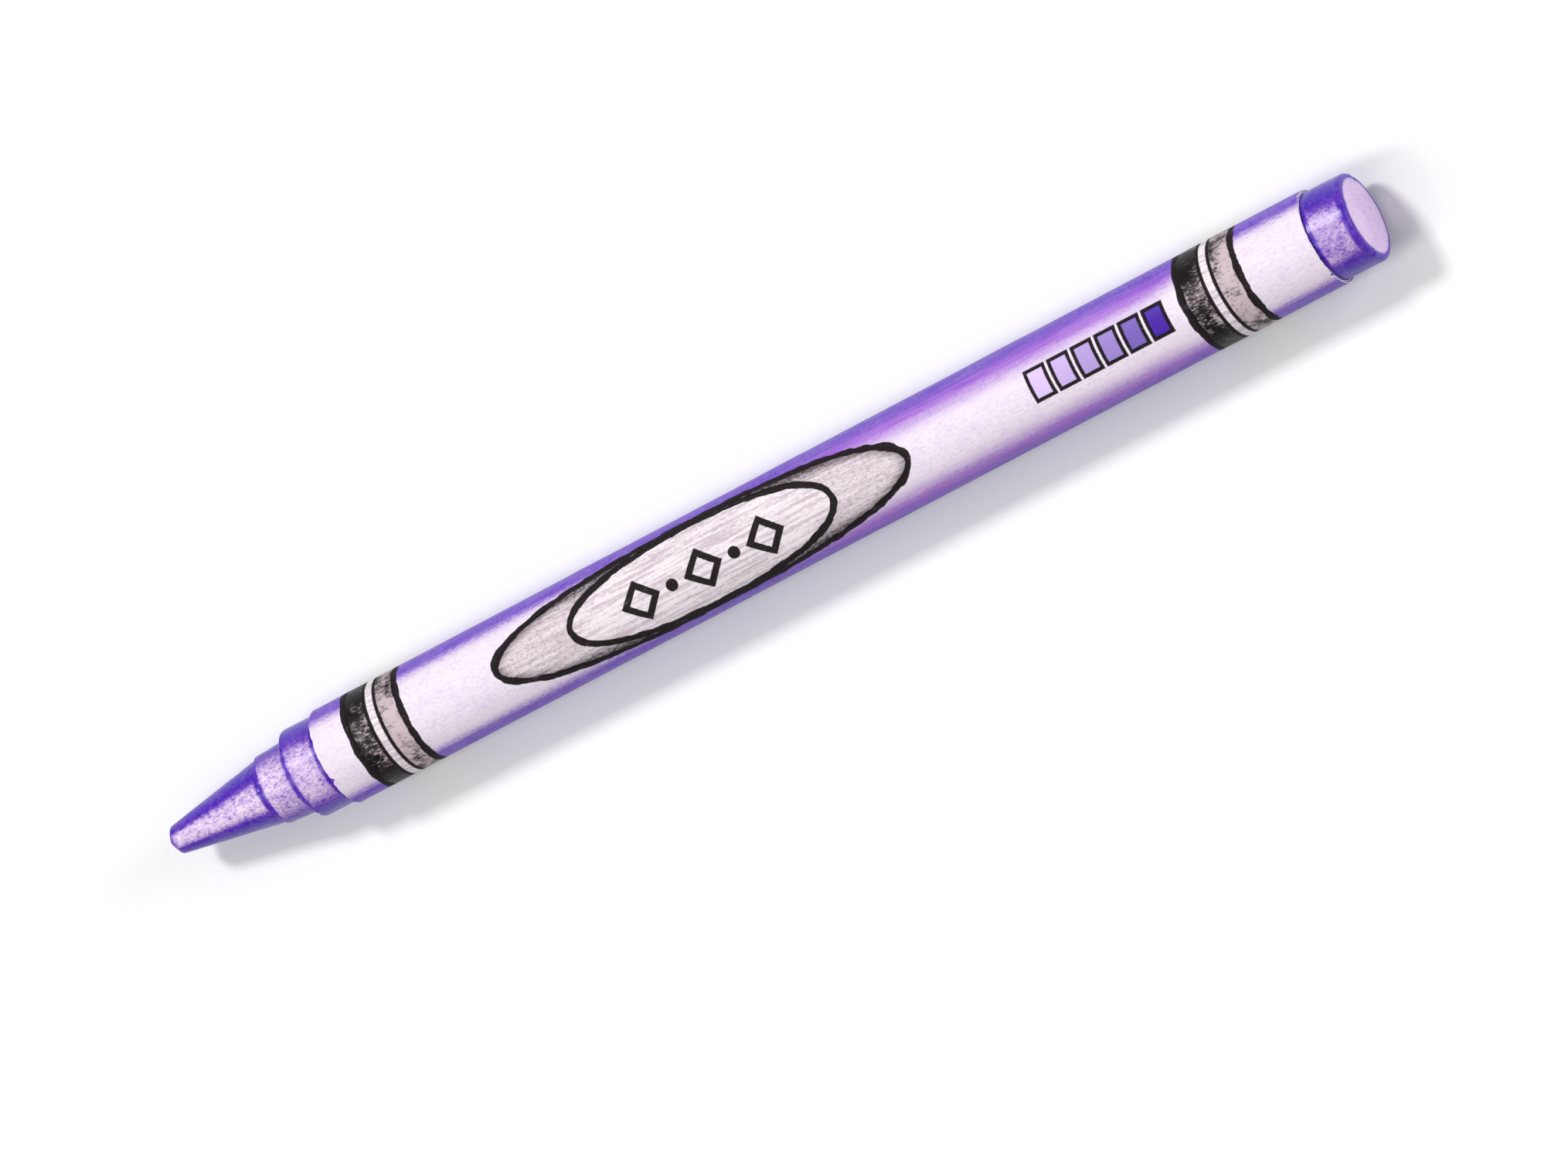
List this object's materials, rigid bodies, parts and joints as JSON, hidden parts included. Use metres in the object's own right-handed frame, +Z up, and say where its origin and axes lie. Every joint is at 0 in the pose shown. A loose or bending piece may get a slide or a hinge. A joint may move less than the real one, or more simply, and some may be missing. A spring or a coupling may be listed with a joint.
{
  "type": "wax crayon",
  "caption": "Round wax crayon with a blunt cone tip, a stepped neck, a flat butt and a glued paper label wound round the barrel.",
  "frame": {"origin": "under the middle of the crayon's length, on the surface that it lies on, which touches the label's lap seam", "axes": "+X along the crayon from the writing tip to the flat butt, +Z up, +Y across it"},
  "size_m": [0.1, 0.0072, 0.0071],
  "materials": {
    "purple_wax": "moulded purple wax, satin, with a pale bloom and fine rub marks",
    "label_paper": "uncoated label paper, purple fading to pale lilac along the top, printed in black",
    "dried_glue": "thin dried paste, slightly yellow"
  },
  "bodies": {
    "root": {"wax_stick": "purple_wax", "label_glue": "dried_glue", "paper_label": "label_paper"}
  },
  "joints": []
}
